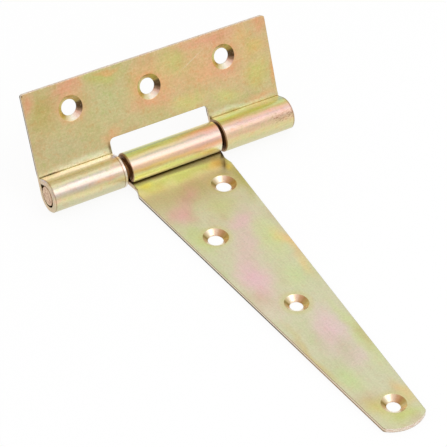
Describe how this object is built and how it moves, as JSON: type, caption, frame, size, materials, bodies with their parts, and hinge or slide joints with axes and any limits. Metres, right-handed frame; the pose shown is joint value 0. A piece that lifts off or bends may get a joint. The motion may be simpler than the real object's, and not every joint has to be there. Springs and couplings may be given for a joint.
{
  "type": "tee gate hinge",
  "caption": "Pressed steel tee hinge: a wide butt plate and a long tapered strap on one pin, with countersunk screw holes, yellow passivated zinc.",
  "frame": {"origin": "on the centre line of the strap's flat back, 12.25 mm along the strap from the pin's axis", "axes": "+Y from the strap's tip towards the pin, +Z out of the strap's face, +X along the pin"},
  "size_m": [0.1, 0.1733, 0.0392],
  "materials": {
    "passivated_zinc": "zinc plate with yellow iridescent passivate, fine rolling lines",
    "pin_steel": "zinc plate with yellow passivate, dull cut ends"
  },
  "bodies": {
    "strap_body": {"strap": "passivated_zinc"},
    "plate_body": {"butt_plate": "passivated_zinc", "pin": "pin_steel"}
  },
  "joints": [
    {"name": "hinge_pin", "type": "hinge", "parent": "strap_body", "child": "plate_body", "pos_m": [0, 0.01225, 0.00647], "axis": [1, 0, 0], "range_deg": [-187, 123]}
  ]
}
